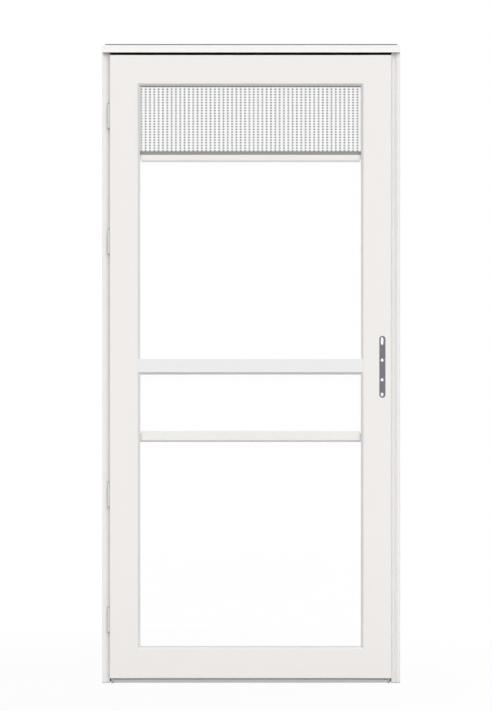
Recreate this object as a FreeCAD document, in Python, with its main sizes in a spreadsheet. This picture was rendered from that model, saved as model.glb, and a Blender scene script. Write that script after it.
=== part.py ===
"""A full-view aluminium storm door with a sliding sash, a roll screen and its own side bars.

Frame: +X to the right and +Z up seen from outside, the outside face towards -Y.
The plane y = 0 is the face of the door casing, and the origin lies on the back
of the hinge side bar's flange, in the middle of its width, at its foot.
"""
import FreeCAD, Part
import Sketcher
import math
import os
import re

SIZES = {
    # Side bars: flange with a raised edge on the casing, web in the opening, stop behind the leaf
    "bar_wall": 2,
    "edge_wall": 1.6,
    "edge_rise": 5,
    "bar_round": 2,
    "hinge_edge": 7,
    "hinge_slope": 15,
    "latch_edge": 9,
    "latch_slope": 10,
    "hinge_overlap": 22,
    "latch_overlap": 26.2,
    "latch_land": 2.5,
    "stop_depth": 30,
    "stop_width": 20,
    "strip_width": 12,
    "strip_depth": 5,
    "strip_round": 2.2,
    # The leaf as a whole, and the gaps it keeps to the bars
    "leaf_width": 901,
    "leaf_height": 1993.8,
    "leaf_depth": 38,
    "leaf_proud": 20,
    "leaf_lift": 17.2,
    "hinge_gap": 0.3,
    "latch_gap": 0.5,
    "head_gap": 8.5,
    # Drip cap and head bar
    "cap_wall": 1.6,
    "cap_projection": 22,
    "cap_nose": 8,
    "cap_rise": 24,
    "cap_height": 25.5,
    "cap_end_wall": 2,
    "cap_seal_height": 3,
    "cap_seal_inset": 8.6,
    "head_wall": 1.6,
    "head_leg": 19.5,
    "head_fit": 0.3,
    "head_seal_wall": 3,
    # Leaf extrusions: lip over the side bar, bevel, glazing groove and sash track
    "wall": 1.6,
    "edge_lip": 5.5,
    "edge_return": 5,
    "edge_round": 1.5,
    "foot_round": 1,
    "bevel": 7,
    "lip_depth": 13,
    "groove_width": 6,
    "groove_depth": 8,
    "fin": 2,
    "rear_lip": 3,
    "stile_face": 89,
    "top_face": 91,
    "bottom_face": 91.3,
    "mid_face": 42,
    "mid_rise": 972.3,
    "mid_setback": 1.5,
    # Handle cut-out in the latch stile and the block behind it
    "handle_rise": 996,
    "handle_setback": 28.7,
    "handle_length": 198.4,
    "handle_width": 19.7,
    "block_width": 34,
    "block_margin": 12,
    "hole_diameter": 10.3,
    "hole_spacing": 63,
    "hole_drop": 9.9,
    "slot_width": 9.4,
    "top_slot_length": 24.5,
    "bottom_slot_length": 12.5,
    "slot_margin": 4.2,
    # Glass
    "glass": 4,
    "glass_edge": 0.4,
    "gasket_sight": 0.6,
    "gasket_foot_sight": 2.6,
    # Sliding sash, let down below the roll screen
    "sash_height": 921.4,
    "sash_depth": 11,
    "sash_bottom_height": 36,
    "sash_top_height": 23,
    "sash_groove": 8,
    "sash_bevel_depth": 2.5,
    "sash_bevel_rise": 6,
    "sash_foot_bevel": 6,
    "sash_end": 4.5,
    "guide_play": 0.3,
    # Roll screen
    "screen_show": 208,
    "screen_thickness": 0.6,
    "screen_bar_height": 11.6,
    "screen_bar_depth": 9,
    "screen_bar_round": 1.2,
    "screen_slot": 6,
    "roller_rise": 45,
    "roller_depth": 16,
    "roller_fit": 0.2,
    "roller_end_gap": 0.5,
    "roller_pin": 5,
    "brush_drop": 2.8,
    "brush_depth": 5,
    "brush_setback": 14.5,
    # Bottom expander and sweep
    "expander_inset": 4.7,
    "expander_setback": 2,
    "expander_height": 14,
    "expander_channel": 8,
    "expander_neck_inset": 8,
    "expander_end": 8,
    "end_drop": 2.4,
    "sweep_drop": 0.8,
    "sweep_fin": 3,
    # Hinges
    "hinge_length": 78,
    "hinge_plate": 1.5,
    "hinge_plate_depth": 22,
    "knuckle_radius": 3.4,
    "knuckle_end": 20,
    "knuckle_gap": 0.4,
    "knuckle_relief": 0.5,
    "pivot_out": 3.8,
    "pivot_back": 5.8,
    "strip_back": 2.7,
    "pin_radius": 1.8,
    "pin_play": 0.05,
    "pin_head": 2.4,
    "pin_head_height": 2,
    "hinge_rise_low": 186.8,
    "hinge_rise_high": 587.8,
    "hinge_drop_low": 596,
    "hinge_drop_high": 194,
}

doc = FreeCAD.newDocument("storm_door")
sheet = doc.addObject("Spreadsheet::Sheet", "Sizes")
for row, (name, size) in enumerate(SIZES.items(), 1):
    sheet.set(f"A{row}", name)
    sheet.set(f"B{row}", str(size))
    sheet.setAlias(f"B{row}", name)
doc.recompute()
sub_parts = []


def point_at_sheet(word):
    return f"Sizes.{word}" if word in SIZES else word


def sized(text):
    """Turn plain size names in a formula into references to the sheet."""
    return re.sub(r"[a-z_]+", lambda word: point_at_sheet(word.group()), text)


def value(text):
    return float(sheet.evalExpression(sized(text)))


def bind(target, path, text):
    target.setExpression(path, sized(text))


def place(target, x, y, z):
    for axis, text in zip("xyz", (x, y, z)):
        bind(target, f"Placement.Base.{axis}", text)


def keep(target, label):
    """Name a finished sub-part, which is then written to its own file."""
    target.Label = label
    sub_parts.append(target)
    return target


def new_body(label):
    return keep(doc.addObject("PartDesign::Body", label), label)


def new_sketch(body, role, name):
    plane = next(item for item in body.Origin.OriginFeatures if item.Role == role)
    sketch = body.newObject("Sketcher::SketchObject", f"{body.Name}_{name}")
    sketch.AttachmentSupport = [(plane, "")]
    sketch.MapMode = "FlatFace"
    return sketch


def pin_point(sketch, geometry, point, x, y):
    """Fix one point of a sketch at two formulas, measured from the sketch's origin."""
    for kind, axis_line, text in (("DistanceX", -2, x), ("DistanceY", -1, y)):
        if abs(value(text)) < 1e-9:
            sketch.addConstraint(Sketcher.Constraint("PointOnObject", geometry, point, axis_line))
        else:
            distance = Sketcher.Constraint(kind, -1, 1, geometry, point, value(text))
            index = sketch.addConstraint(distance)
            bind(sketch, f"Constraints[{index}]", text)


def polygon(sketch, points):
    """Draw a closed outline through points given as pairs of formulas."""
    corners = [FreeCAD.Vector(value(x), value(y), 0) for x, y in points]
    first = sketch.GeometryCount
    count = len(corners)
    for index in range(count):
        sketch.addGeometry(Part.LineSegment(corners[index], corners[(index + 1) % count]))
    for index in range(count):
        following = first + (index + 1) % count
        sketch.addConstraint(Sketcher.Constraint("Coincident", first + index, 2, following, 1))
    for index, (x, y) in enumerate(points):
        pin_point(sketch, first + index, 1, x, y)


def rectangle(left, low, right, high):
    return [(left, low), (right, low), (right, high), (left, high)]


def circle(sketch, x, y, diameter):
    centre = FreeCAD.Vector(value(x), value(y), 0)
    index = sketch.addGeometry(Part.Circle(centre, FreeCAD.Vector(0, 0, 1), value(diameter) / 2))
    pin_point(sketch, index, 3, x, y)
    size = sketch.addConstraint(Sketcher.Constraint("Diameter", index, value(diameter)))
    bind(sketch, f"Constraints[{size}]", diameter)


def upright_slot(sketch, x, low, high, width):
    """Draw a round-ended slot whose end arcs have their centres at low and high."""
    radius = value(width) / 2
    bottom = FreeCAD.Vector(value(x), value(low), 0)
    top = FreeCAD.Vector(value(x), value(high), 0)
    side = FreeCAD.Vector(radius, 0, 0)
    up = FreeCAD.Vector(0, 0, 1)
    first = sketch.GeometryCount
    sketch.addGeometry(Part.ArcOfCircle(Part.Circle(top, up, radius), 0, math.pi))
    sketch.addGeometry(Part.LineSegment(top - side, bottom - side))
    sketch.addGeometry(Part.ArcOfCircle(Part.Circle(bottom, up, radius), math.pi, 2 * math.pi))
    sketch.addGeometry(Part.LineSegment(bottom + side, top + side))
    for index in range(4):
        following = first + (index + 1) % 4
        sketch.addConstraint(Sketcher.Constraint("Tangent", first + index, 2, following, 1))
    pin_point(sketch, first, 3, x, high)
    pin_point(sketch, first + 2, 3, x, low)
    size = sketch.addConstraint(Sketcher.Constraint("Diameter", first, 2 * radius))
    bind(sketch, f"Constraints[{size}]", width)


def pad(body, sketch, length):
    feature = body.newObject("PartDesign::Pad", f"{sketch.Name}_pad")
    feature.Profile = sketch
    bind(feature, "Length", length)
    return feature


def pocket(body, sketch, length, turned=False):
    feature = body.newObject("PartDesign::Pocket", f"{sketch.Name}_pocket")
    feature.Profile = sketch
    feature.Reversed = turned
    bind(feature, "Length", length)
    return feature


def extrusion(label, role, outlines, length, x, y, z):
    """Pad one or more closed outlines, the second and later ones being hollows."""
    body = new_body(label)
    sketch = new_sketch(body, role, "section")
    for outline in outlines:
        polygon(sketch, outline)
    pad(body, sketch, length)
    place(body, x, y, z)
    return body


def across_bar(role, point):
    """The two coordinates of a point that an extrusion's section lies in."""
    return (point.x, point.y) if role == "XY_Plane" else (point.y, point.z)


def round_edges(body, role, corners, radius):
    """Fillet the long edges of an extrusion that start at the given section corners."""
    doc.recompute()
    spots = [(value(x), value(y)) for x, y in corners]
    base = body.Tip
    names = []
    for number, edge in enumerate(base.Shape.Edges, 1):
        ends = [across_bar(role, vertex.Point) for vertex in edge.Vertexes]
        if any(all(math.dist(spot, end) < 1e-6 for end in ends) for spot in spots):
            names.append(f"Edge{number}")
    fillet = body.newObject("PartDesign::Fillet", f"{body.Name}_round")
    fillet.Base = (base, names)
    bind(fillet, "Radius", radius)
    return fillet


def mirrored(outline, width):
    return [(f"{width} - ({across})", along) for across, along in outline]


def swapped(outline):
    return [(along, across) for across, along in outline]


def box(name, length, width, height, x, y, z):
    solid = doc.addObject("Part::Box", name)
    for path, text in (("Length", length), ("Width", width), ("Height", height)):
        bind(solid, path, text)
    place(solid, x, y, z)
    return solid


def cylinder(name, radius, height, z):
    solid = doc.addObject("Part::Cylinder", name)
    bind(solid, "Radius", radius)
    bind(solid, "Height", height)
    bind(solid, "Placement.Base.z", z)
    return solid


def fuse(name, solids):
    joined = doc.addObject("Part::MultiFuse", name)
    joined.Shapes = solids
    joined.Refine = True
    return joined


def cut(name, base, tool):
    rest = doc.addObject("Part::Cut", name)
    rest.Base = base
    rest.Tool = tool
    return rest


# Places that several pieces share
frame_left = "(-hinge_overlap / 2)"
hinge_web = "(hinge_overlap / 2 + bar_wall)"
leaf_left = f"({hinge_web} + hinge_gap)"
leaf_right = f"({leaf_left} + leaf_width)"
latch_web = f"({leaf_right} + latch_gap)"
frame_right = f"({latch_web} + bar_wall + latch_overlap)"
leaf_front = "(-leaf_proud)"
leaf_top = "(leaf_lift + leaf_height)"
bar_length = f"({leaf_top} + head_gap)"

# Side bars: one Z section each, whose flange slopes up from the land by the leaf to a hollow outer edge
hinge_bar_back = "(edge_rise + bar_wall)"
latch_bar_back = "(edge_rise + latch_land + bar_wall)"


def bar_outlines(overlap, edge, slope, back):
    """Section of a side bar and its hollow: distance from the outer edge, depth behind the front."""
    web = f"({overlap} + bar_wall)"
    stop = f"({web} + stop_width)"
    deep = f"({back} + stop_depth)"
    outer = [
        ("0", "0"),
        (edge, "0"),
        (f"{edge} + {slope}", "edge_rise"),
        (web, "edge_rise"),
        (web, f"{deep} - bar_wall"),
        (stop, f"{deep} - bar_wall"),
        (stop, deep),
        (overlap, deep),
        (overlap, back),
        ("0", back),
    ]
    hollow = [
        ("edge_wall", "edge_wall"),
        (edge, "edge_wall"),
        (f"{edge} + {slope} * ({back} - 2 * edge_wall) / edge_rise", f"{back} - edge_wall"),
        ("edge_wall", f"{back} - edge_wall"),
    ]
    return outer, hollow


hinge_outlines = bar_outlines("hinge_overlap", "hinge_edge", "hinge_slope", hinge_bar_back)
hinge_bar = extrusion("hinge_z_bar", "XY_Plane", hinge_outlines,
                      bar_length, frame_left, f"-{hinge_bar_back}", "0")
round_edges(hinge_bar, "XY_Plane", [("0", "0")], "bar_round")

# The latch bar's land stands out a little nearer to the leaf's face
latch_bar_width = "(latch_overlap + bar_wall + stop_width)"
latch_outlines = [mirrored(outline, latch_bar_width) for outline in
                  bar_outlines("latch_overlap", "latch_edge", "latch_slope", latch_bar_back)]
latch_bar = extrusion("latch_z_bar", "XY_Plane", latch_outlines,
                      bar_length, f"{latch_web} - stop_width", f"-{latch_bar_back}", "0")
round_edges(latch_bar, "XY_Plane", mirrored([("0", "0")], latch_bar_width), "bar_round")

# Drip cap: flange, sloped hood and nose, an end piece at each side and a thin seal along its top
cap_section = [
    ("0", "0"),
    ("0", "cap_nose"),
    ("cap_projection - cap_wall", "cap_rise"),
    ("cap_projection - cap_wall", "cap_height"),
    ("cap_projection", "cap_height"),
    ("cap_projection", "0"),
    ("cap_projection - cap_wall", "0"),
    ("cap_projection - cap_wall", "cap_rise - cap_wall"),
    ("cap_wall", "cap_nose - cap_wall"),
    ("cap_wall", "0"),
]
cap_front = "(-cap_projection)"
cap_left = f"({frame_left} + cap_end_wall)"
cap_length = f"({frame_right} - cap_end_wall - {cap_left})"
extrusion("drip_cap", "YZ_Plane", [cap_section], cap_length, cap_left, cap_front, bar_length)

cap_end_section = [
    ("0", "0"),
    ("0", "cap_nose"),
    ("cap_projection", "cap_height"),
    ("cap_projection", "0"),
]
for side, left in (("left", frame_left), ("right", f"{frame_right} - cap_end_wall")):
    extrusion(f"drip_cap_end_{side}", "YZ_Plane", [cap_end_section], "cap_end_wall",
              left, cap_front, bar_length)

cap_seal_length = f"{frame_right} - {frame_left} - 2 * cap_seal_inset"
keep(box("cap_seal_strip", cap_seal_length, "cap_wall", "cap_seal_height",
         f"{frame_left} + cap_seal_inset", "-cap_wall", f"{bar_length} + cap_height"), "cap_top_seal")

# Head bar: an angle on the side bars' stops, lined below with the black seal that shows over the leaf
head_back = "(stop_depth - bar_wall - head_fit)"
head_front = f"({head_back} - head_wall)"
head_left = f"({hinge_web} + head_fit)"
head_length = f"({latch_web} - head_fit - {head_left})"
head_low = f"({bar_length} - head_leg)"
head_section = [
    (head_front, "0"),
    (head_back, "0"),
    (head_back, "head_leg"),
    ("stop_depth", "head_leg"),
    ("stop_depth", "head_leg + head_wall"),
    ("0", "head_leg + head_wall"),
    ("0", "head_leg"),
    (head_front, "head_leg"),
]
extrusion("head_bar", "YZ_Plane", [head_section], head_length, head_left, "0", head_low)

seal_reach = f"(cap_projection - cap_wall + {head_front})"
head_seal_section = [
    (f"{seal_reach} - head_seal_wall", "0"),
    (seal_reach, "0"),
    (seal_reach, "head_leg"),
    ("0", "head_leg"),
    ("0", "head_leg - head_seal_wall"),
    (f"{seal_reach} - head_seal_wall", "head_leg - head_seal_wall"),
]
extrusion("head_seal", "YZ_Plane", [head_seal_section], head_length,
          head_left, "-cap_projection + cap_wall", head_low)

# Weatherstrips on the two stops, up to the head bar
strip_front = "(stop_depth - bar_wall - strip_depth)"
strip_length = f"{head_low} - head_fit"
strip_section = rectangle("0", "0", "strip_width", "strip_depth")
strip_places = {"hinge": f"{hinge_web} + stop_width - strip_width", "latch": f"{latch_web} - stop_width"}
for side, left in strip_places.items():
    strip = extrusion(f"{side}_weatherstrip", "XY_Plane", [strip_section], strip_length,
                      left, strip_front, "0")
    round_edges(strip, "XY_Plane", [("0", "0"), ("strip_width", "0")], "strip_round")

# Stiles: hollow extrusions, full height, with a lip in front of the gap at the outer edge
track_front = "(lip_depth + groove_width + fin)"
wall_turn = "wall * (sqrt(2) - 1)"


def glass_edge_outline(face):
    """The glass side of a leaf section: bevel, glazing groove, fin and sash track."""
    edge = f"({face} + bevel)"
    floor = f"({edge} - groove_depth)"
    return [
        (face, "0"),
        (edge, "bevel"),
        (edge, "lip_depth"),
        (floor, "lip_depth"),
        (floor, "lip_depth + groove_width"),
        (edge, "lip_depth + groove_width"),
        (edge, track_front),
        (floor, track_front),
        (floor, "leaf_depth - rear_lip"),
        (edge, "leaf_depth - rear_lip"),
        (edge, "leaf_depth"),
    ]


def hollow_outline(face, start, lip, depth):
    """The hollow behind a bevelled face, one wall inside the outer outline."""
    edge = f"({face} + bevel)"
    floor = f"({edge} - groove_depth)"
    return [
        (f"{start} + wall", "wall"),
        (f"{face} - {wall_turn}", "wall"),
        (f"{edge} - wall", f"bevel + {wall_turn}"),
        (f"{edge} - wall", f"{lip} - wall"),
        (f"{floor} - wall", f"{lip} - wall"),
        (f"{floor} - wall", f"{depth} - wall"),
        (f"{start} + wall", f"{depth} - wall"),
    ]


stile_width = "(stile_face + bevel)"
stile_outer = [("0", "0")] + glass_edge_outline("stile_face") + [
    ("edge_lip", "leaf_depth"),
    ("edge_lip", "wall"),
    ("wall", "wall"),
    ("wall", "edge_return"),
    ("0", "edge_return"),
]
stile_hollow = hollow_outline("stile_face", "edge_lip", "lip_depth", "leaf_depth")
hinge_stile = extrusion("hinge_stile", "XY_Plane", [stile_outer, stile_hollow], "leaf_height",
                        leaf_left, leaf_front, "leaf_lift")
round_edges(hinge_stile, "XY_Plane", [("0", "0")], "edge_round")

latch_stile_outlines = [mirrored(outline, stile_width) for outline in (stile_outer, stile_hollow)]
latch_stile = extrusion("latch_stile", "XY_Plane", latch_stile_outlines, "leaf_height",
                        f"{leaf_right} - {stile_width}", leaf_front, "leaf_lift")
round_edges(latch_stile, "XY_Plane", [(stile_width, "0")], "edge_round")


# Handle preparation: a long round-ended cut in the stile's front, over a block with holes right through
def handle_holes(sketch, x, z):
    """Two round holes, with a long slot above them and a short one below."""
    centre = f"{z} - hole_drop"
    circle(sketch, x, f"{centre} + hole_spacing / 2", "hole_diameter")
    circle(sketch, x, f"{centre} - hole_spacing / 2", "hole_diameter")
    top = f"{z} + handle_length / 2 - slot_margin - slot_width / 2"
    upright_slot(sketch, x, f"{top} - top_slot_length + slot_width", top, "slot_width")
    low = f"{z} - handle_length / 2 + slot_margin + slot_width / 2"
    upright_slot(sketch, x, low, f"{low} + bottom_slot_length - slot_width", "slot_width")


handle_x = f"{stile_width} - handle_setback"
handle_low = "handle_rise - (handle_length - handle_width) / 2"
handle_high = "handle_rise + (handle_length - handle_width) / 2"
handle_cut = new_sketch(latch_stile, "XZ_Plane", "handle_cut")
upright_slot(handle_cut, handle_x, handle_low, handle_high, "handle_width")
pocket(latch_stile, handle_cut, "wall")
rear_cut = new_sketch(latch_stile, "XZ_Plane", "rear_holes")
handle_holes(rear_cut, handle_x, "handle_rise")
pocket(latch_stile, rear_cut, "leaf_depth")

block_height = "(handle_length + 2 * block_margin)"
handle_block = new_body("handle_block")
block_sketch = new_sketch(handle_block, "XZ_Plane", "section")
polygon(block_sketch, rectangle("0", "0", "block_width", block_height))
handle_holes(block_sketch, "block_width / 2", f"{block_height} / 2")
pad(handle_block, block_sketch, "leaf_depth - 2 * wall")
place(handle_block, f"{leaf_right} - handle_setback - block_width / 2",
      "-leaf_proud + leaf_depth - wall", f"leaf_lift + handle_rise - {block_height} / 2")

# Rails between the stiles, their ends coped to the bevel of the stile
rail_left = f"({leaf_left} + stile_face)"
rail_length = "(leaf_width - 2 * stile_face)"


def coped_rail(label, outlines, setback, depth, height, z):
    """A rail whose front lies a setback behind the stiles' faces, and whose ends fit their bevels."""
    length = f"({rail_length} - 2 * {setback})"
    rail = extrusion(label, "YZ_Plane", outlines, length,
                     f"{rail_left} + {setback}", f"{leaf_front} + {setback}", z)
    turn = f"(bevel - {setback})"
    cope = [("0", "0"), (turn, turn), (turn, depth), ("0", depth)]
    ends = new_sketch(rail, "XY_Plane", "copes")
    polygon(ends, cope)
    polygon(ends, mirrored(cope, length))
    pocket(rail, ends, height, turned=True)
    return rail


bottom_height = "(bottom_face + bevel)"
bottom_outer = [("0", "0")] + glass_edge_outline("bottom_face") + [("0", "leaf_depth")]
bottom_hollow = hollow_outline("bottom_face", "0", "lip_depth", "leaf_depth")
bottom_rail = coped_rail("bottom_rail", [swapped(bottom_outer), swapped(bottom_hollow)], "0",
                         "leaf_depth", bottom_height, "leaf_lift")
round_edges(bottom_rail, "YZ_Plane", [("0", "0")], "foot_round")

# The top rail is open below between the fin and the rear lip, where the screen comes out
top_height = "(top_face + bevel)"
top_low = f"({leaf_top} - {top_height})"
top_section = [
    ("0", "0"),
    ("top_face", "0"),
    (top_height, "bevel"),
    (top_height, track_front),
    (f"{top_height} - wall", track_front),
    (f"{top_height} - wall", f"bevel + {wall_turn}"),
    (f"top_face - {wall_turn}", "wall"),
    ("wall", "wall"),
    ("wall", "leaf_depth - wall"),
    (f"{top_height} - wall", "leaf_depth - wall"),
    (f"{top_height} - wall", "leaf_depth - rear_lip"),
    (top_height, "leaf_depth - rear_lip"),
    (top_height, "leaf_depth"),
    ("0", "leaf_depth"),
]
top_rail = coped_rail("top_rail", [swapped(mirrored(top_section, top_height))], "0",
                      "leaf_depth", top_height, top_low)
round_edges(top_rail, "YZ_Plane", [("0", top_height)], "edge_round")

# The mid rail carries the fixed glass's top edge, a little behind the stiles' faces
mid_height = "(mid_face + bevel)"
mid_low = "(leaf_lift + mid_rise)"
mid_floor = f"({mid_height} - groove_depth)"
mid_lip = "(lip_depth - mid_setback)"
mid_depth = f"({track_front} - mid_setback)"
mid_section = [
    ("0", "0"),
    ("mid_face", "0"),
    (mid_height, "bevel"),
    (mid_height, mid_lip),
    (mid_floor, mid_lip),
    (mid_floor, f"{mid_lip} + groove_width"),
    (mid_height, f"{mid_lip} + groove_width"),
    (mid_height, mid_depth),
    ("0", mid_depth),
]
mid_hollow = hollow_outline("mid_face", "0", mid_lip, mid_depth)
coped_rail("mid_rail", [swapped(mirrored(outline, mid_height)) for outline in (mid_section, mid_hollow)],
           "mid_setback", mid_depth, mid_height, mid_low)

# Fixed lower glass in the glazing grooves, with a gasket frame in front of it that is deepest at its foot
glass_left = f"({leaf_left} + {stile_width} - groove_depth + glass_edge)"
glass_width = "(leaf_width - 2 * (stile_face + bevel - groove_depth + glass_edge))"
lower_low = f"(leaf_lift + {bottom_height} - groove_depth + glass_edge)"
lower_height = f"({mid_low} + groove_depth - glass_edge - {lower_low})"
lower_front = "(-leaf_proud + lip_depth + groove_width - glass)"
keep(box("lower_pane", glass_width, "glass", lower_height, glass_left, lower_front, lower_low), "lower_glass")

gasket_band = "(groove_depth - glass_edge + gasket_sight)"
gasket_foot = "(groove_depth - glass_edge + gasket_foot_sight)"
gasket_outlines = (
    rectangle("0", "0", glass_width, lower_height),
    rectangle(gasket_band, gasket_foot, f"{glass_width} - {gasket_band}", f"{lower_height} - {gasket_band}"),
)
extrusion("lower_glass_gasket", "XZ_Plane", gasket_outlines, "groove_width - glass",
          glass_left, lower_front, lower_low)

# Sliding sash in the rear track: two rails bevelled below, a pane and four corner guides
screen_bar_low = f"({top_low} - screen_show - screen_bar_height)"
sash_low = f"({screen_bar_low} - sash_height)"
sash_top_low = f"({screen_bar_low} - sash_top_height)"
sash_middle = f"(-leaf_proud + ({track_front} + leaf_depth - rear_lip) / 2)"
sash_front = f"({sash_middle} - sash_depth / 2)"
sash_left = f"({leaf_left} + {stile_width} + sash_end)"
sash_length = "(leaf_width - 2 * (stile_face + bevel + sash_end))"
slot_front = "(sash_depth - glass) / 2"
slot_back = "(sash_depth + glass) / 2"
slot_floor = "(sash_bottom_height - sash_groove)"
sash_bottom_outer = [
    ("sash_foot_bevel", "0"),
    ("sash_depth", "0"),
    ("sash_depth", "sash_bottom_height"),
    (slot_back, "sash_bottom_height"),
    (slot_back, slot_floor),
    (slot_front, slot_floor),
    (slot_front, "sash_bottom_height"),
    ("0", "sash_bottom_height"),
    ("0", "sash_foot_bevel"),
]
sash_bottom_hollow = [
    ("wall", f"sash_foot_bevel + {wall_turn}"),
    (f"sash_foot_bevel + {wall_turn}", "wall"),
    ("sash_depth - wall", "wall"),
    ("sash_depth - wall", f"{slot_floor} - wall"),
    ("wall", f"{slot_floor} - wall"),
]
extrusion("sash_bottom_rail", "YZ_Plane", [sash_bottom_outer, sash_bottom_hollow], sash_length,
          sash_left, sash_front, sash_low)

sash_top_outer = [
    ("sash_bevel_depth", "0"),
    (slot_front, "0"),
    (slot_front, "sash_groove"),
    (slot_back, "sash_groove"),
    (slot_back, "0"),
    ("sash_depth", "0"),
    ("sash_depth", "sash_top_height"),
    ("0", "sash_top_height"),
    ("0", "sash_bevel_rise"),
]
sash_top_hollow = rectangle("wall", "sash_groove + wall", "sash_depth - wall", "sash_top_height - wall")
extrusion("sash_top_rail", "YZ_Plane", [sash_top_outer, sash_top_hollow], sash_length,
          sash_left, sash_front, sash_top_low)

sash_glass_low = f"({sash_low} + {slot_floor} + glass_edge)"
sash_glass_height = f"({sash_top_low} + sash_groove - glass_edge - {sash_glass_low})"
keep(box("sash_pane", glass_width, "glass", sash_glass_height,
         glass_left, f"{sash_middle} - glass / 2", sash_glass_low), "sash_glass")

guide_left = f"({leaf_left} + {stile_width} - groove_depth + guide_play)"
guide_right = f"({leaf_right} - {stile_width} - sash_end)"
guide_width = "(groove_depth - guide_play + sash_end)"
guide_front = f"(-leaf_proud + {track_front} + guide_play)"
guide_depth = f"(leaf_depth - rear_lip - {track_front} - 2 * guide_play)"
low_guide = (sash_low, f"{slot_floor} - guide_play")
high_guide = (f"{sash_top_low} + sash_groove + guide_play", "sash_top_height - sash_groove - guide_play")
guides = [(left, *level) for level in (low_guide, high_guide) for left in (guide_left, guide_right)]
for number, (left, low, height) in enumerate(guides, 1):
    keep(box(f"guide_block_{number}", guide_width, guide_depth, height, left, guide_front, low),
         f"sash_guide_{number}")

# Roll screen: a roller in the top rail, the mesh pulled down behind it, its bar on the sash and a brush
screen_slot_front = "(screen_bar_depth - screen_thickness) / 2"
screen_slot_back = "(screen_bar_depth + screen_thickness) / 2"
screen_bar_section = [
    ("0", "0"),
    ("screen_bar_depth", "0"),
    ("screen_bar_depth", "screen_bar_height"),
    (screen_slot_back, "screen_bar_height"),
    (screen_slot_back, "screen_bar_height - screen_slot"),
    (screen_slot_front, "screen_bar_height - screen_slot"),
    (screen_slot_front, "screen_bar_height"),
    ("0", "screen_bar_height"),
]
screen_bar = extrusion("screen_bottom_bar", "YZ_Plane", [screen_bar_section], glass_width,
                       glass_left, f"{sash_middle} - screen_bar_depth / 2", screen_bar_low)
round_edges(screen_bar, "YZ_Plane", [("0", "0"), ("0", "screen_bar_height")], "screen_bar_round")

roller_level = f"({top_low} + roller_rise)"
screen_low = f"({screen_bar_low} + screen_bar_height - screen_slot)"
screen_front = f"({sash_middle} - screen_thickness / 2)"
keep(box("screen_sheet", glass_width, "screen_thickness", f"{roller_level} - {screen_low}",
         glass_left, screen_front, screen_low), "screen_mesh")

roller_axis = "(-leaf_proud + roller_depth)"
roller_radius = f"({screen_front} - roller_fit - {roller_axis})"
pin_inset = f"({stile_width} - groove_depth)"
roller = new_body("screen_roller")
roller_pin = new_sketch(roller, "YZ_Plane", "pin")
circle(roller_pin, roller_radius, roller_radius, "roller_pin")
pad(roller, roller_pin, f"leaf_width - 2 * {pin_inset}")
roller_tube = new_sketch(roller, "YZ_Plane", "tube")
bind(roller_tube, "AttachmentOffset.Base.z", "groove_depth + roller_end_gap")
circle(roller_tube, roller_radius, roller_radius, f"2 * {roller_radius}")
pad(roller, roller_tube, f"leaf_width - 2 * ({stile_width} + roller_end_gap)")
place(roller, f"{leaf_left} + {pin_inset}",
      f"{roller_axis} - {roller_radius}", f"{roller_level} - {roller_radius}")

brush_strip = box("brush_strip", f"leaf_width - 2 * {stile_width}", "brush_depth", "brush_drop",
                  f"{leaf_left} + {stile_width}", f"{leaf_front} + brush_setback", f"{top_low} - brush_drop")
keep(brush_strip, "screen_brush")

# Bottom expander under the leaf, closed by an end block at each side, with a rubber sweep in it
expander_depth = "(leaf_depth - 2 * expander_setback)"
expander_front = "(-leaf_proud + expander_setback)"
expander_left = f"({leaf_left} + expander_inset + expander_end)"
expander_length = "(leaf_width - 2 * (expander_inset + expander_end))"
expander_low = "(leaf_lift - expander_height)"
neck_back = f"{expander_depth} - expander_neck_inset"
expander_section = [
    ("0", "0"),
    ("wall", "0"),
    ("wall", "expander_channel - wall"),
    (f"{expander_depth} - wall", "expander_channel - wall"),
    (f"{expander_depth} - wall", "0"),
    (expander_depth, "0"),
    (expander_depth, "expander_channel"),
    (neck_back, "expander_channel"),
    (neck_back, "expander_height"),
    ("expander_neck_inset", "expander_height"),
    ("expander_neck_inset", "expander_channel"),
    ("0", "expander_channel"),
]
neck_hollow = rectangle("expander_neck_inset + wall", "expander_channel",
                        f"{neck_back} - wall", "expander_height - wall")
extrusion("bottom_expander", "YZ_Plane", [expander_section, neck_hollow], expander_length,
          expander_left, expander_front, expander_low)

end_places = {"left": f"{expander_left} - expander_end", "right": f"{expander_left} + {expander_length}"}
for side, left in end_places.items():
    keep(box(f"end_block_{side}", "expander_end", expander_depth, "expander_height + end_drop",
             left, expander_front, f"{expander_low} - end_drop"), f"expander_end_{side}")

sweep_depth = f"({expander_depth} - 2 * wall)"
sweep_top = "(sweep_drop + expander_channel - wall)"
sweep_section = [
    ("0", "0"),
    ("sweep_fin", "0"),
    ("sweep_fin", f"{sweep_top} - sweep_fin"),
    (f"{sweep_depth} - sweep_fin", f"{sweep_top} - sweep_fin"),
    (f"{sweep_depth} - sweep_fin", "0"),
    (sweep_depth, "0"),
    (sweep_depth, sweep_top),
    ("0", sweep_top),
]
extrusion("bottom_sweep", "YZ_Plane", [sweep_section], expander_length,
          expander_left, f"{expander_front} + wall", f"{expander_low} - sweep_drop")

# Hinges: bent leaves hidden behind the stile's lip, with their knuckles in front of the flange
pivot_x = f"({leaf_left} - pivot_out)"
pivot_y = "(-leaf_proud + pivot_back)"
frame_plate_x = "(pivot_out - hinge_gap)"
door_land = "(edge_return - pivot_back)"
door_plate_x = "(pivot_out + edge_lip - hinge_plate)"
frame_clear = "(sqrt(knuckle_radius ^ 2 - strip_back ^ 2) + knuckle_relief)"
door_clear = "(knuckle_radius + knuckle_relief)"
middle_low = "(knuckle_end + knuckle_gap)"
outer_knuckles = (("0", "knuckle_end"), ("hinge_length - knuckle_end", "knuckle_end"))
middle_knuckle = ((middle_low, f"hinge_length - 2 * {middle_low}"),)


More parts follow.
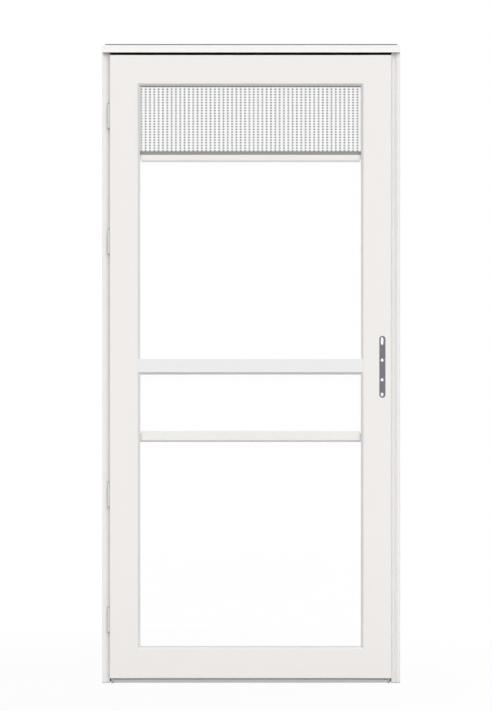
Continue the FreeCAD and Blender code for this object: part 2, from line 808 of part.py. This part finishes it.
def hinge_leaf(name, plate_x, land, reach, knuckles):
    """A bent leaf round the pin axis: a strip at depth land, a plate that runs back, and knuckles."""
    solids = [
        box(f"{name}_plate", "hinge_plate", "hinge_plate_depth", "hinge_length", plate_x, land, "0"),
        box(f"{name}_strip", f"{plate_x} + hinge_plate - {reach}", "hinge_plate", "hinge_length",
            reach, land, "0"),
    ]
    for index, (low, length) in enumerate(knuckles):
        solids.append(cylinder(f"{name}_knuckle_{index}", "knuckle_radius", length, low))
        solids.append(box(f"{name}_root_{index}", reach, "hinge_plate", length, "0", land, low))
    bore = cylinder(f"{name}_bore", "pin_radius + pin_play", "hinge_length", "0")
    return cut(f"{name}_drilled", fuse(f"{name}_blank", solids), bore)


hinge_levels = (
    "leaf_lift + hinge_rise_low",
    "leaf_lift + hinge_rise_high",
    f"{leaf_top} - hinge_drop_low",
    f"{leaf_top} - hinge_drop_high",
)
for number, level in enumerate(hinge_levels, 1):
    frame_leaf = hinge_leaf(f"frame_leaf_{number}", frame_plate_x, "strip_back", frame_clear, outer_knuckles)
    door_leaf = hinge_leaf(f"door_leaf_{number}", door_plate_x, door_land, door_clear, middle_knuckle)
    shank = cylinder(f"shank_{number}", "pin_radius", "hinge_length", "0")
    foot = cylinder(f"pin_foot_{number}", "pin_head", "pin_head_height", "-pin_head_height")
    head = cylinder(f"pin_top_{number}", "pin_head", "pin_head_height", "hinge_length")
    pin = fuse(f"pin_{number}", [shank, foot, head])
    hinge_pieces = {"frame_hinge_leaf": frame_leaf, "door_hinge_leaf": door_leaf, "hinge_pin": pin}
    for label, piece in hinge_pieces.items():
        place(piece, pivot_x, pivot_y, f"{level} - hinge_length / 2")
        keep(piece, f"{label}_{number}")

doc.recompute()

for item in doc.Objects:
    if "Invalid" in item.State or "Error" in item.State:
        raise RuntimeError(f"{item.Name} failed: {item.State}")

for item in sub_parts:
    if item.Shape.isNull() or not item.Shape.isValid():
        raise RuntimeError(f"{item.Label} has no valid shape")

os.makedirs("parts", exist_ok=True)
for item in sub_parts:
    item.Shape.exportStep(f"parts/{item.Label}.step")
    print(f"{item.Label}: {len(item.Shape.Solids)} solid, {item.Shape.Volume / 1000:.1f} cm3")
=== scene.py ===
"""Looks of a white aluminium storm door with a roll screen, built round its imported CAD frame."""
import math

import bpy
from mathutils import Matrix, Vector


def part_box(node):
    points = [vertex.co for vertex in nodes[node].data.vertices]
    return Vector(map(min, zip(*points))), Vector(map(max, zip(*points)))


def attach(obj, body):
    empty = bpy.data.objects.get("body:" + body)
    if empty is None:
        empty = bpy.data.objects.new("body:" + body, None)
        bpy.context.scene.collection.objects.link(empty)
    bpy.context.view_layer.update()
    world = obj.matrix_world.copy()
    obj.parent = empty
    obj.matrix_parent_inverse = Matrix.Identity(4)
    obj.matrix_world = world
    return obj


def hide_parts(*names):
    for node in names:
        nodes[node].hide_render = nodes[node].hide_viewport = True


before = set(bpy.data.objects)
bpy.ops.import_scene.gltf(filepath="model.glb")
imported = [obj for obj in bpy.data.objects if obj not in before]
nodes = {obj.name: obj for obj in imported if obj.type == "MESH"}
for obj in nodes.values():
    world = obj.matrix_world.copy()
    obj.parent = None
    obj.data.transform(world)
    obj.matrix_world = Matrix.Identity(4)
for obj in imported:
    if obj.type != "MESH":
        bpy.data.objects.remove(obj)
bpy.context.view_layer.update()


# Side bars, drip cap and head bar
# Extruded aluminium with a baked white enamel, satin and very slightly uneven.
# The bars are screwed to the casing, with painted contact shade darkening their lowest 5 mm, and the cap
# stands on them.
class Wire:
    """One output of a shader node, which can be used in plain arithmetic."""

    def __init__(self, tree, socket):
        self.tree = tree
        self.socket = socket

    @classmethod
    def node(cls, tree, kind, inputs, output=0, **settings):
        """Add a node with its settings, fed with wires or constants, and return one of its outputs."""
        made = tree.nodes.new(kind)
        for name, setting in settings.items():
            setattr(made, name, setting)
        for key, source in inputs.items():
            if isinstance(source, cls):
                tree.links.new(source.socket, made.inputs[key])
            else:
                made.inputs[key].default_value = source
        return cls(tree, made.outputs[output])

    def maths(self, operation, other):
        return self.node(self.tree, "ShaderNodeMath", {0: self, 1: other}, operation=operation)

    def __add__(self, other):
        return self.maths("ADD", other)

    def __sub__(self, other):
        return self.maths("SUBTRACT", other)

    def __mul__(self, other):
        return self.maths("MULTIPLY", other)

    def __rsub__(self, other):
        return self * -1.0 + other

    __radd__ = __add__
    __rmul__ = __mul__

    def scale(self, colour):
        """A colour, fixed or wired, made lighter or darker by this wire."""
        return self.node(self.tree, "ShaderNodeVectorMath", {0: colour, "Scale": self}, operation="SCALE")

    def feed(self, target, name):
        self.tree.links.new(self.socket, target.inputs[name])


def object_place(tree):
    """The place on a piece, in metres of the shared frame."""
    return Wire.node(tree, "ShaderNodeTexCoord", {}, "Object")


def finish(name, colour, spread, patch, roughness, grain, relief, **constants):
    """A finish whose tone and gloss wander a little over patches, with a fine grain in relief.

    The tone varies by the spread over patches of about that size, or not at all where that is
    nought, and the grain is that wide and stands up by the relief, in metres. Constants go to the
    shader's sockets of those names.
    """
    noise_middle = 0.5
    patch_detail = 3.0
    grain_detail = 2.0
    gloss_spread = 0.1
    grain_strength = 0.3
    material = bpy.data.materials.new(name)
    material.use_nodes = True
    material.diffuse_color = (*colour, constants.get("Alpha", 1.0))
    tree = material.node_tree
    shader = tree.nodes["Principled BSDF"]
    for socket, constant in constants.items():
        shader.inputs[socket.replace("_", " ")].default_value = constant
    place = object_place(tree)
    patches, grains = (
        Wire.node(tree, "ShaderNodeTexNoise", {"Vector": place, "Scale": 1 / size, "Detail": detail}, "Fac")
        for size, detail in ((patch, patch_detail), (grain, grain_detail))
    )
    if spread:
        tone = 1.0 + (patches - noise_middle) * spread
        tone.scale(colour).feed(shader, "Base Color")
    else:
        shader.inputs["Base Color"].default_value = (*colour, 1.0)
    gloss = roughness + (patches - noise_middle) * gloss_spread
    gloss.feed(shader, "Roughness")
    bump = Wire.node(tree, "ShaderNodeBump", {
        "Height": grains,
        "Strength": grain_strength,
        "Distance": relief,
    })
    bump.feed(shader, "Normal")
    return material


def dress(material, *names):
    """Give CAD nodes a material."""
    for name in names:
        for slot in nodes[name].material_slots:
            slot.material = material


enamel = {"spread": 0.012, "patch": 0.3, "roughness": 0.38, "grain": 0.0012, "relief": 0.00002}
# The cap wears the bars' enamel painted lighter: painted light standing in for its up-facing hood catching
# more of the lamp.
lit_cap_enamel = finish("lit_cap_enamel", (0.935, 0.912, 0.9), **enamel)
dress(lit_cap_enamel, "drip_cap")
bar_enamel = finish("bar_enamel", (0.845, 0.83, 0.82), **enamel)
dress(bar_enamel, "hinge_z_bar", "latch_z_bar", "head_bar")

# Painted shade: the bars' enamel darkens to half its tone over the lowest 5 mm, standing in for contact
# shadow where the feet meet the floor.
painted_shade_height = 0.005
painted_shade_tone = 0.5
bar_tree = bar_enamel.node_tree
bar_shader = bar_tree.nodes["Principled BSDF"]
bar_tint = Wire(bar_tree, bar_shader.inputs["Base Color"].links[0].from_socket)
bar_level = Wire.node(bar_tree, "ShaderNodeSeparateXYZ", {"Vector": object_place(bar_tree)}, "Z")
painted_foot_shade = Wire.node(bar_tree, "ShaderNodeMapRange", {
    "Value": bar_level,
    "From Max": painted_shade_height,
    "To Min": painted_shade_tone,
    "To Max": 1.0,
})
painted_foot_shade.scale(bar_tint).feed(bar_shader, "Base Color")

# Hinges
# Bent leaves with a thin, greyer coat on the web and the stile, and plain steel pins with small heads,
# dark against the knuckles that they run through.
hinge_coat = finish("hinge_coat", (0.71, 0.705, 0.69), spread=0.05, patch=0.03, roughness=0.45,
                    grain=0.0008, relief=0.00003)
pin_steel = finish("pin_steel", (0.12, 0.12, 0.125), spread=0.2, patch=0.004, roughness=0.4,
                   grain=0.0004, relief=0.00001, Metallic=0.6)
hinge_count = 4
for number in range(1, hinge_count + 1):
    dress(hinge_coat, f"frame_hinge_leaf_{number}", f"door_hinge_leaf_{number}")
    dress(pin_steel, f"hinge_pin_{number}")

# Drip cap ends
# White moulded vinyl, a little cooler than the enamel: two flat caps pushed on the ends of the hood.
white_vinyl = finish("white_vinyl", (0.86, 0.86, 0.855), spread=0.015, patch=0.05, roughness=0.5,
                     grain=0.0008, relief=0.00003)
dress(white_vinyl, "drip_cap_end_left", "drip_cap_end_right")

# Seals over the leaf
# A black rubber lining under the head bar, and a thin dark grey strip along the top of the cap.
black_rubber = finish("black_rubber", (0.004, 0.004, 0.004), spread=0.3, patch=0.02, roughness=0.85,
                      grain=0.0006, relief=0.00005, Specular_IOR_Level=0.1)
dress(black_rubber, "head_seal")
cap_strip = finish("cap_strip", (0.08, 0.08, 0.083), spread=0.15, patch=0.02, roughness=0.7,
                   grain=0.0008, relief=0.00003)
dress(cap_strip, "cap_top_seal")

# Weatherstrips and screen brush
# Grey pile: a strip on each stop of the side bars, behind the closed leaf, and a narrow one under the
# front lip of the top rail, which the screen brushes against as it comes down.
pile = finish("pile", (0.4, 0.395, 0.39), spread=0.3, patch=0.003, roughness=0.95,
              grain=0.0005, relief=0.0004, Specular_IOR_Level=0.1)
dress(pile, "hinge_weatherstrip", "latch_weatherstrip", "screen_brush")

# Leaf
# Hollow extrusions in the same baked enamel, the rails coped to the bevels of the stiles and
# screwed to them from the side. The mid rail is a more neutral white.
leaf_enamel = finish("leaf_enamel", (0.85, 0.823, 0.803), **enamel)
dress(leaf_enamel, "hinge_stile", "latch_stile", "top_rail", "bottom_rail", "sash_top_rail")
mid_enamel = finish("mid_enamel", (0.82, 0.82, 0.82), **enamel)
dress(mid_enamel, "mid_rail")

# Handle block
# A bare cast block behind the cut-out in the latch stile, bored for the handle set.
cast_metal = finish("cast_metal", (0.14, 0.128, 0.155), spread=0.12, patch=0.006, roughness=0.5,
                    grain=0.0008, relief=0.00006, Metallic=0.3)
dress(cast_metal, "handle_block")

# Glass
# Two clear tempered panes of 4 mm, the fixed one below in a pale gasket and the sliding one
# behind it in the sash rails.
clear_glass = finish("clear_glass", (0.9, 0.94, 0.92), spread=0.02, patch=0.4, roughness=0.05,
                     grain=0.1, relief=0.00001, Alpha=0.03)
dress(clear_glass, "lower_glass", "sash_glass")
pale_gasket = finish("pale_gasket", (0.58, 0.58, 0.575), spread=0.06, patch=0.05, roughness=0.7,
                     grain=0.0008, relief=0.00004)
dress(pale_gasket, "lower_glass_gasket")

# Sash
# A slim bottom rail in a yellower enamel than the top one, which is coated with the leaf, and a pale
# grey plastic guide at each corner that runs in the track.
sash_enamel = finish("sash_enamel", (0.85, 0.835, 0.8), spread=0.012, patch=0.3, roughness=0.4,
                     grain=0.0012, relief=0.00004)
dress(sash_enamel, "sash_bottom_rail")
guide_plastic = finish("guide_plastic", (0.8, 0.8, 0.79), spread=0.08, patch=0.01, roughness=0.6,
                       grain=0.0006, relief=0.00003)
guide_count = 4
dress(guide_plastic, *(f"sash_guide_{number}" for number in range(1, guide_count + 1)))

# Roll screen
# A cloth of fine pale strands laid crosswise, with dark threads and knots woven in on a wider lattice.
# It hangs stretched between the roller in the top rail and the dark bar on the sash.
bar_paint = finish("bar_paint", (0.26, 0.255, 0.25), spread=0.06, patch=0.1, roughness=0.5,
                   grain=0.001, relief=0.00004)
dress(bar_paint, "screen_bottom_bar")
wound_cloth = finish("wound_cloth", (0.05, 0.05, 0.05), spread=0.3, patch=0.02, roughness=0.7,
                     grain=0.0003, relief=0.00002, Specular_IOR_Level=0.2)
dress(wound_cloth, "screen_roller", "screen_mesh")
# The strands are too fine for a baked pattern, so each kind has one plain colour.
pale_strand = finish("pale_strand", (0.85, 0.85, 0.85), spread=0.0, patch=0.02, roughness=0.7,
                     grain=0.0003, relief=0.00002)
dark_strand = finish("dark_strand", (0.05, 0.05, 0.05), spread=0.0, patch=0.02, roughness=0.7,
                     grain=0.0003, relief=0.00002, Specular_IOR_Level=0.2)

column_pitch = 0.01387
row_pitch = 0.00858
column_at = 0.1272
row_at = 1.887
uprights_per_column = 9
crossings_per_row = 6
dark_uprights = 5
pale_width = 0.00008
dark_upright_width = 0.00027
dark_crossing_width = 0.0003
knot_width = 0.0045
knot_height = 0.0028


def lattice(at, pitch, low, high):
    """The first place of a lattice inside a span, and how many of its places lie in it."""
    first = at - math.floor((at - low) / pitch) * pitch
    return first, math.floor((high - first) / pitch) + 1


def strand_set(start, size, step=(0, 0, 0), count=1, row_step=(0, 0, 0), rows=1):
    """Boxes of one size, laid out from the first one in steps along, and in rows."""
    return {"start": start, "size": size, "step": step, "count": count, "row step": row_step, "rows": rows}


cloth_low, cloth_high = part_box("screen_mesh")
cloth_middle = (cloth_low + cloth_high) / 2
cloth_width = cloth_high.x - cloth_low.x
cloth_height = cloth_high.z - cloth_low.z
strand_depth = (cloth_high.y - cloth_low.y) / 2
front_y = cloth_low.y + strand_depth / 2
back_y = cloth_high.y - strand_depth / 2
fine_x = column_pitch / uprights_per_column
fine_z = row_pitch / crossings_per_row
margin_x = fine_x * dark_uprights / 2
margin_z = knot_height / 2
pale_x, pale_columns = lattice(column_at, fine_x, cloth_low.x + pale_width, cloth_high.x - pale_width)
pale_z, pale_rows = lattice(row_at, fine_z, cloth_low.z + pale_width, cloth_high.z - pale_width)
dark_x, dark_columns = lattice(column_at, column_pitch, cloth_low.x + margin_x, cloth_high.x - margin_x)
dark_z, dark_rows = lattice(row_at, row_pitch, cloth_low.z + margin_z, cloth_high.z - margin_z)
strand_sets = {
    "pale upright": strand_set((pale_x, front_y, cloth_middle.z), (pale_width, strand_depth, cloth_height),
                               (fine_x, 0, 0), pale_columns),
    "pale crossing": strand_set((cloth_middle.x, back_y, pale_z), (cloth_width, strand_depth, pale_width),
                                (0, 0, fine_z), pale_rows),
    "dark upright": strand_set((dark_x - fine_x * (dark_uprights - 1) / 2, front_y, cloth_middle.z),
                               (dark_upright_width, strand_depth, cloth_height),
                               (column_pitch, 0, 0), dark_columns, (fine_x, 0, 0), dark_uprights),
    "dark crossing": strand_set((cloth_middle.x, back_y, dark_z),
                                (cloth_width, strand_depth, dark_crossing_width),
                                (0, 0, row_pitch), dark_rows),
    "dark knot": strand_set((dark_x, cloth_middle.y, dark_z), (knot_width, 2 * strand_depth, knot_height),
                            (column_pitch, 0, 0), dark_columns, (0, 0, row_pitch), dark_rows),
}
socket_kinds = {
    "start": "NodeSocketVector",
    "size": "NodeSocketVector",
    "step": "NodeSocketVector",
    "row step": "NodeSocketVector",
    "count": "NodeSocketInt",
    "rows": "NodeSocketInt",
}

cloth_tree = bpy.data.node_groups.new("strand_cloth", "GeometryNodeTree")
cloth_tree.interface.new_socket("Cloth", in_out="OUTPUT", socket_type="NodeSocketGeometry")
identifiers = {}
for family, sizes in strand_sets.items():
    for name in sizes:
        socket = cloth_tree.interface.new_socket(f"{family} {name}", in_out="INPUT",
                                                 socket_type=socket_kinds[name])
        identifiers[family, name] = socket.identifier
given = cloth_tree.nodes.new("NodeGroupInput")
woven = cloth_tree.nodes.new("GeometryNodeJoinGeometry")


def add_node(kind, inputs):
    """Add a geometry node, with its inputs linked to other nodes' outputs."""
    made = cloth_tree.nodes.new(kind)
    for key, source in inputs.items():
        cloth_tree.links.new(source, made.inputs[key])
    return made


for family in strand_sets:
    along = add_node("GeometryNodeMeshLine", {
        "Count": given.outputs[f"{family} count"],
        "Start Location": given.outputs[f"{family} start"],
        "Offset": given.outputs[f"{family} step"],
    })
    across = add_node("GeometryNodeMeshLine", {
        "Count": given.outputs[f"{family} rows"],
        "Offset": given.outputs[f"{family} row step"],
    })
    rows = add_node("GeometryNodeInstanceOnPoints", {
        "Points": along.outputs["Mesh"],
        "Instance": across.outputs["Mesh"],
    })
    spots = add_node("GeometryNodeRealizeInstances", {"Geometry": rows.outputs["Instances"]})
    strand = add_node("GeometryNodeMeshCube", {"Size": given.outputs[f"{family} size"]})
    strands = add_node("GeometryNodeInstanceOnPoints", {
        "Points": spots.outputs["Geometry"],
        "Instance": strand.outputs["Mesh"],
    })
    solid = add_node("GeometryNodeRealizeInstances", {"Geometry": strands.outputs["Instances"]})
    coloured = add_node("GeometryNodeSetMaterial", {"Geometry": solid.outputs["Geometry"]})
    coloured.inputs["Material"].default_value = pale_strand if "pale" in family else dark_strand
    cloth_tree.links.new(coloured.outputs["Geometry"], woven.inputs["Geometry"])
add_node("NodeGroupOutput", {"Cloth": woven.outputs["Geometry"]})

seed = bpy.data.objects.new("strand_seed", bpy.data.meshes.new("strand_seed"))
bpy.context.scene.collection.objects.link(seed)
weaving = seed.modifiers.new("weaving", "NODES")
weaving.node_group = cloth_tree
for (family, name), identifier in identifiers.items():
    weaving[identifier] = strand_sets[family][name]
graph = bpy.context.evaluated_depsgraph_get()
cloth_mesh = bpy.data.meshes.new_from_object(seed.evaluated_get(graph))
bpy.data.objects.remove(seed)
screen = bpy.data.objects.new("screen_cloth", cloth_mesh)
bpy.context.scene.collection.objects.link(screen)
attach(screen, "leaf")
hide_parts("screen_mesh")

# Bottom expander
# A channel of mill-finish aluminium under the leaf, closed by grey plastic ends, with a rubber sweep in it.
mill_finish = finish("mill_finish", (0.42, 0.42, 0.425), spread=0.08, patch=0.02, roughness=0.45,
                     grain=0.0006, relief=0.00003, Metallic=0.3)
dress(mill_finish, "bottom_expander")
dark_plastic = finish("dark_plastic", (0.36, 0.355, 0.355), spread=0.2, patch=0.01, roughness=0.6,
                      grain=0.0006, relief=0.00004)
dress(dark_plastic, "expander_end_left", "expander_end_right")
sweep_rubber = finish("sweep_rubber", (0.45, 0.45, 0.45), spread=0.15, patch=0.02, roughness=0.8,
                      grain=0.0006, relief=0.00004)
dress(sweep_rubber, "bottom_sweep")

# Floor, light and camera
# A pale studio floor and a white surround, a soft lamp in front, above and a little to the right,
# a weaker one behind, and a long lens square to the door.
floor_half = 6.0
floor_mesh = bpy.data.meshes.new("floor")
floor_corners = [(x, y, 0.0) for x, y in ((-1, -1), (1, -1), (1, 1), (-1, 1))]
floor_mesh.from_pydata([Vector(corner) * floor_half for corner in floor_corners], [], [(0, 1, 2, 3)])
floor = bpy.data.objects.new("floor", floor_mesh)
bpy.context.scene.collection.objects.link(floor)
floor_paint = finish("floor_paint", (0.5, 0.5, 0.5), spread=0.02, patch=0.5, roughness=0.9,
                     grain=0.005, relief=0.0001, Specular_IOR_Level=0.0)
floor_mesh.materials.append(floor_paint)


def backdrop_rays(tree):
    """One where a ray comes from the camera, a mirror or a pane, and nought for the light on the object."""
    seen, shine, through = (Wire.node(tree, "ShaderNodeLightPath", {}, f"Is {kind} Ray")
                            for kind in ("Camera", "Glossy", "Transmission"))
    return seen.maths("MAXIMUM", shine).maths("MAXIMUM", through)


floor_glow = 0.96
fade_from = 0.6
fade_to = 2.0
floor_tree = floor_paint.node_tree
floor_place = object_place(floor_tree)
reach = Wire.node(floor_tree, "ShaderNodeVectorMath", {0: floor_place}, "Value", operation="LENGTH")
fade = Wire.node(floor_tree, "ShaderNodeMapRange", {
    "Value": reach,
    "From Min": fade_from,
    "From Max": fade_to,
    "To Min": floor_glow,
    "To Max": 1.0,
})
painted = Wire(floor_tree, floor_tree.nodes["Principled BSDF"].outputs["BSDF"])
glow = Wire.node(floor_tree, "ShaderNodeEmission", {})
lit_floor = Wire.node(floor_tree, "ShaderNodeMixShader", {
    "Fac": backdrop_rays(floor_tree) * fade,
    1: painted,
    2: glow,
})
lit_floor.feed(floor_tree.nodes["Material Output"], "Surface")

ambient = 0.33
world = bpy.data.worlds.new("studio")
world.use_nodes = True
bpy.context.scene.world = world
world_tree = world.node_tree
backdrop = world_tree.nodes["Background"]
backdrop.inputs["Color"].default_value = (1.0, 1.0, 1.0, 1.0)
level = ambient + backdrop_rays(world_tree) * (1.0 - ambient)
level.feed(backdrop, "Strength")

lamp_spread = math.radians(70.0)
lamp_places = {
    "key_lamp": {"level": 0.695, "height": 30.0, "turn": 4.0},
    "fill_lamp": {"level": 0.5, "height": 20.0, "turn": 180.0},
}
for name, lamp_place in lamp_places.items():
    lamp_data = bpy.data.lights.new(name, "SUN")
    lamp_data.energy = lamp_place["level"] * math.pi
    lamp_data.angle = lamp_spread
    lamp = bpy.data.objects.new(name, lamp_data)
    tilt = math.pi / 2 - math.radians(lamp_place["height"])
    lamp.rotation_euler = (tilt, 0.0, math.radians(lamp_place["turn"]))
    bpy.context.scene.collection.objects.link(lamp)

photo_height = 711
metres_per_pixel = 0.0032
camera_x = 0.4492
camera_z = 1.0496
camera_distance = 9.0
leaf_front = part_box("hinge_stile")[0].y
camera_data = bpy.data.cameras.new("camera")
camera_data.sensor_fit = "VERTICAL"
camera_data.sensor_height = 36.0
camera_data.lens = camera_data.sensor_height * camera_distance / (photo_height * metres_per_pixel)
camera = bpy.data.objects.new("camera", camera_data)
camera.location = (camera_x, leaf_front - camera_distance, camera_z)
camera.rotation_euler = (math.pi / 2, 0.0, 0.0)
bpy.context.scene.collection.objects.link(camera)
bpy.context.scene.camera = camera
bpy.context.scene.view_settings.view_transform = "Standard"
